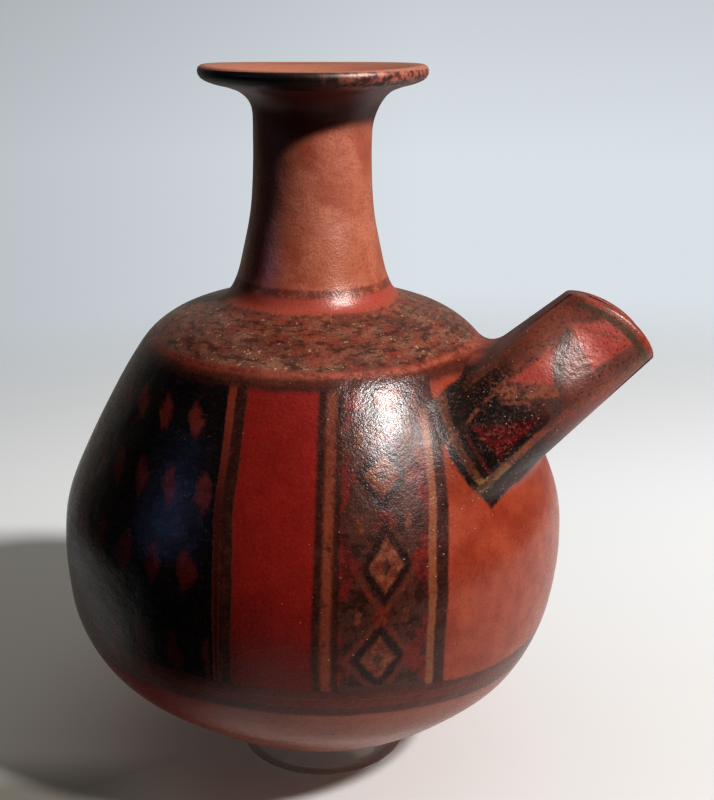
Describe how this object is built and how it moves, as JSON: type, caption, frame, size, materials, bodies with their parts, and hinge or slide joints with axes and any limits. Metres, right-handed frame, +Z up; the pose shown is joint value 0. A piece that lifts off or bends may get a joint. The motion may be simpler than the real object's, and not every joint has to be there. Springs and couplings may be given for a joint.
{
  "type": "aryballos bottle",
  "caption": "Hand-built round clay bottle with a pointed base, waisted neck, wide flat rim and slanting side spout, painted in bands and lozenge panels, in a clear display ring.",
  "frame": {"origin": "middle of the bounding box's underside, on the table; the bottle's own axis stands 12.3 mm towards -X of it", "axes": "+Z up along the bottle's axis, +X towards the side spout, +Y to the spout's left as seen looking out along it"},
  "size_m": [0.178, 0.1534, 0.2133],
  "materials": {
    "slipped_clay": "burnished slip, satin",
    "clear_acrylic": "clear, polished"
  },
  "bodies": {
    "root": {"vessel": "slipped_clay", "stand_ring": "clear_acrylic"}
  },
  "joints": []
}
